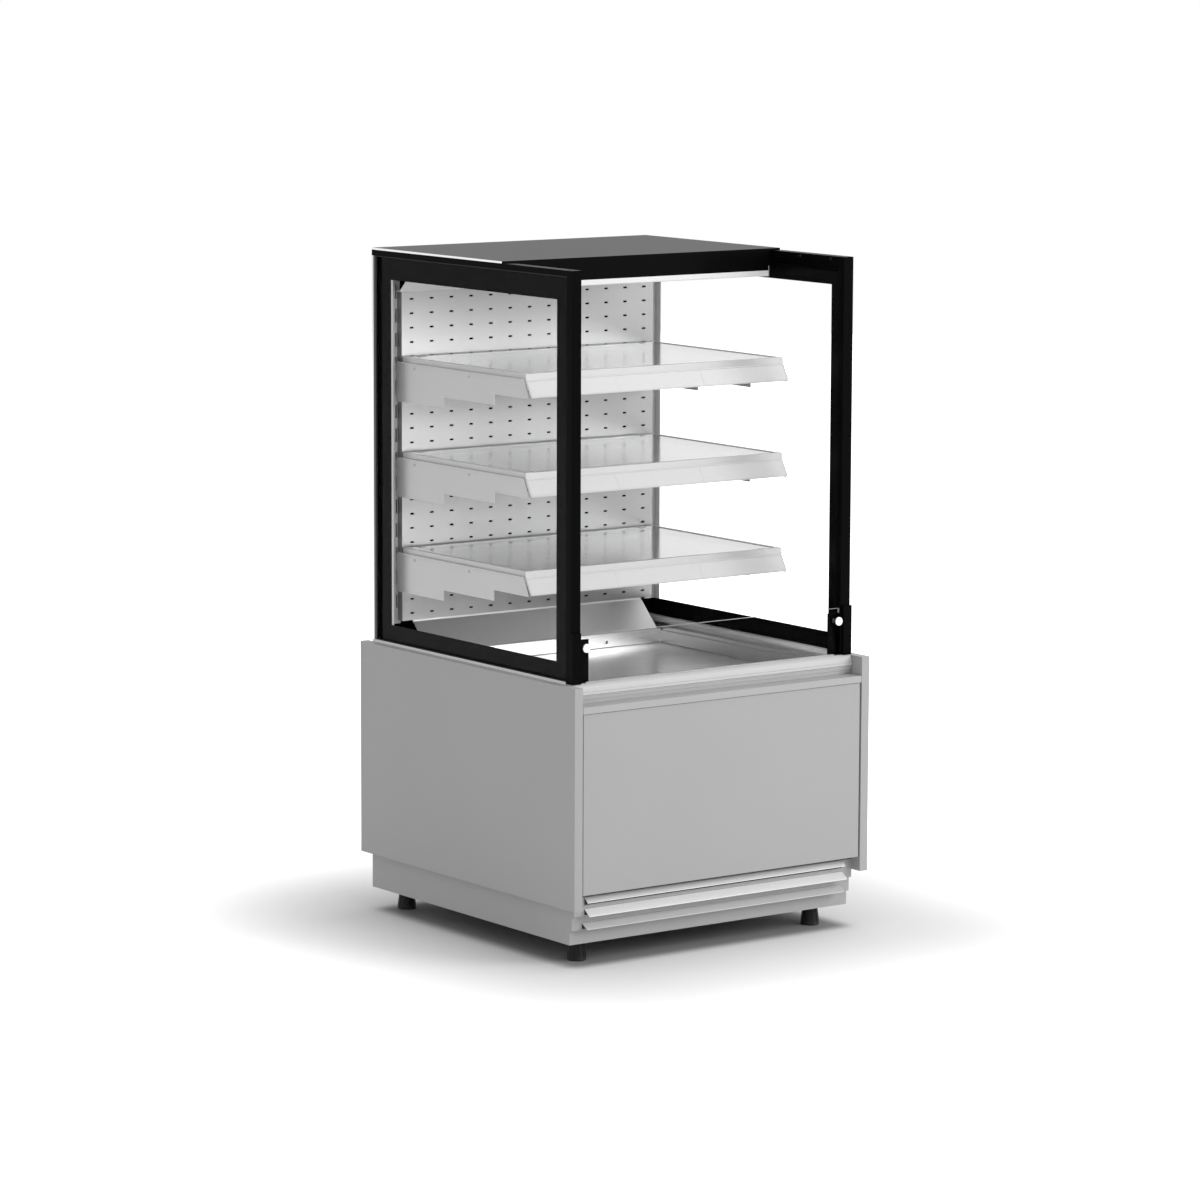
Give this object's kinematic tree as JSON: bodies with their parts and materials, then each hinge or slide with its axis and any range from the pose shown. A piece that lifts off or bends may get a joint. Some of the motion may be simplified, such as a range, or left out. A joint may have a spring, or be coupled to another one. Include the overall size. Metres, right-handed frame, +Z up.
{
  "type": "refrigerated display case",
  "caption": "Open-front refrigerated display case with glazed sides, glass shelves, a polished well behind low front glass, and a clad cabinet with louvres on levelling feet.",
  "frame": {"origin": "on the floor under the middle of the case", "axes": "+X to the right when facing the open front, +Y to the back, +Z up"},
  "size_m": [0.75, 0.775, 1.4],
  "materials": {
    "board": "satin grey laminate on board",
    "trim": "satin anodised",
    "louvre": "satin light grey",
    "tank": "foam with a white skin",
    "stainless": "polished stainless sheet",
    "liner": "white coated sheet",
    "upright": "light grey coating",
    "back": "black skin on foam board",
    "black_metal": "black powder coat",
    "soffit": "mid grey coating",
    "bright": "bright anodised",
    "diffuser": "opal",
    "glass": "clear toughened",
    "enamel": "black fired enamel",
    "machine_black": "gloss black enamel",
    "coil": "bare fins",
    "galvanised": "galvanised sheet",
    "copper": "drawn copper tube",
    "black_plastic": "fine texture",
    "shelf_metal": "grey coating",
    "strip": "satin grey",
    "knob": "turned",
    "foot": "moulded black",
    "fan": "moulded black",
    "key": "moulded"
  },
  "bodies": {
    "case": {"side_board_left": "board", "side_board_right": "board", "ledge_strip": "trim", "counter_profile": "trim", "louvre_panel_upper": "louvre", "louvre_panel_lower": "louvre", "kick_plate": "louvre", "plinth_frame": "louvre", "insulated_tank": "tank", "deck_pan": "stainless", "air_deflector": "stainless", "perforated_panel": "liner", "shelf_uprights": "upright", "rear_wall": "back", "canopy": "black_metal", "canopy_soffit": "soffit", "light_housing": "bright", "light_diffuser": "diffuser", "side_glass_left": "glass", "side_glass_right": "glass", "glass_borders": "enamel", "front_posts": "black_metal", "top_rails": "black_metal", "rear_posts": "black_metal", "base_rails": "bright", "glass_clamps": "black_metal", "front_glass": "glass", "compressor": "machine_black", "condenser": "coil", "fan_shroud": "galvanised", "refrigerant_pipes": "copper", "evaporator": "coil", "evaporator_fan_plate": "galvanised", "control_panel": "galvanised", "controller": "black_plastic", "power_inlet": "black_plastic", "condensate_tray": "galvanised"},
    "shelf_top": {"shelf_frame_top": "shelf_metal", "shelf_glass_top": "glass", "price_strip_top": "strip"},
    "shelf_middle": {"shelf_frame_middle": "shelf_metal", "shelf_glass_middle": "glass", "price_strip_middle": "strip"},
    "shelf_bottom": {"shelf_frame_bottom": "shelf_metal", "shelf_glass_bottom": "glass", "price_strip_bottom": "strip"},
    "knob_left": {"clamp_knob_left": "knob"},
    "knob_right": {"clamp_knob_right": "knob"},
    "foot_fl": {"foot_front_left": "foot"},
    "foot_fr": {"foot_front_right": "foot"},
    "foot_rl": {"foot_rear_left": "foot"},
    "foot_rr": {"foot_rear_right": "foot"},
    "condenser_fan": {"condenser_fan": "fan"},
    "evaporator_fan": {"evaporator_fan": "fan"},
    "key_up": {"key_up": "key"},
    "key_down": {"key_down": "key"},
    "light_switch": {"light_switch": "key"},
    "front_panel": {"front_panel": "board"},
    "grille": {"return_air_grille": "stainless"},
    "rear_cover": {"rear_cover": "galvanised"}
  },
  "joints": [
    {"name": "shelf_top_tilt", "type": "hinge", "parent": "case", "child": "shelf_top", "pos_m": [0, 0.3205, 1.1455], "axis": [-1, 0, 0], "range_deg": [0, 8]},
    {"name": "shelf_middle_tilt", "type": "hinge", "parent": "case", "child": "shelf_middle", "pos_m": [0, 0.3205, 0.9455], "axis": [-1, 0, 0], "range_deg": [0, 8]},
    {"name": "shelf_bottom_tilt", "type": "hinge", "parent": "case", "child": "shelf_bottom", "pos_m": [0, 0.3205, 0.7455], "axis": [-1, 0, 0], "range_deg": [0, 8]},
    {"name": "clamp_knob_left_turn", "type": "hinge", "parent": "case", "child": "knob_left", "pos_m": [-0.321, -0.3475, 0.645], "axis": [0, -1, 0], "continuous": true},
    {"name": "clamp_knob_right_turn", "type": "hinge", "parent": "case", "child": "knob_right", "pos_m": [0.321, -0.3475, 0.645], "axis": [0, -1, 0], "continuous": true},
    {"name": "foot_fl_turn", "type": "hinge", "parent": "case", "child": "foot_fl", "pos_m": [-0.3, -0.2915, 0], "axis": [0, 0, 1], "continuous": true},
    {"name": "foot_fr_turn", "type": "hinge", "parent": "case", "child": "foot_fr", "pos_m": [0.3, -0.2915, 0], "axis": [0, 0, 1], "continuous": true},
    {"name": "foot_rl_turn", "type": "hinge", "parent": "case", "child": "foot_rl", "pos_m": [-0.3, 0.3255, 0], "axis": [0, 0, 1], "continuous": true},
    {"name": "foot_rr_turn", "type": "hinge", "parent": "case", "child": "foot_rr", "pos_m": [0.3, 0.3255, 0], "axis": [0, 0, 1], "continuous": true},
    {"name": "condenser_fan_spin", "type": "hinge", "parent": "case", "child": "condenser_fan", "pos_m": [-0.11, -0.1935, 0.182], "axis": [0, -1, 0], "continuous": true},
    {"name": "evaporator_fan_spin", "type": "hinge", "parent": "case", "child": "evaporator_fan", "pos_m": [0, 0.1285, 0.45], "axis": [0, -1, 0], "continuous": true},
    {"name": "key_up_press", "type": "slide", "parent": "case", "child": "key_up", "axis": [0, -1, 0], "range_m": [0, 0.001], "stiffness_N_per_m": 400, "springref_m": -0.001},
    {"name": "key_down_press", "type": "slide", "parent": "case", "child": "key_down", "axis": [0, -1, 0], "range_m": [0, 0.001], "stiffness_N_per_m": 400, "springref_m": -0.001},
    {"name": "light_switch_rock", "type": "hinge", "parent": "case", "child": "light_switch", "pos_m": [0.273, 0.3735, 0.215], "axis": [1, 0, 0], "range_deg": [0, 20]},
    {"name": "front_panel_pull", "type": "slide", "parent": "case", "child": "front_panel", "axis": [0, -1, 0], "range_m": [0, 0.15]},
    {"name": "grille_lift", "type": "slide", "parent": "case", "child": "grille", "axis": [0, 0, 1], "range_m": [0, 0.08]},
    {"name": "rear_cover_pull", "type": "slide", "parent": "case", "child": "rear_cover", "axis": [0, 1, 0], "range_m": [0, 0.1]}
  ]
}
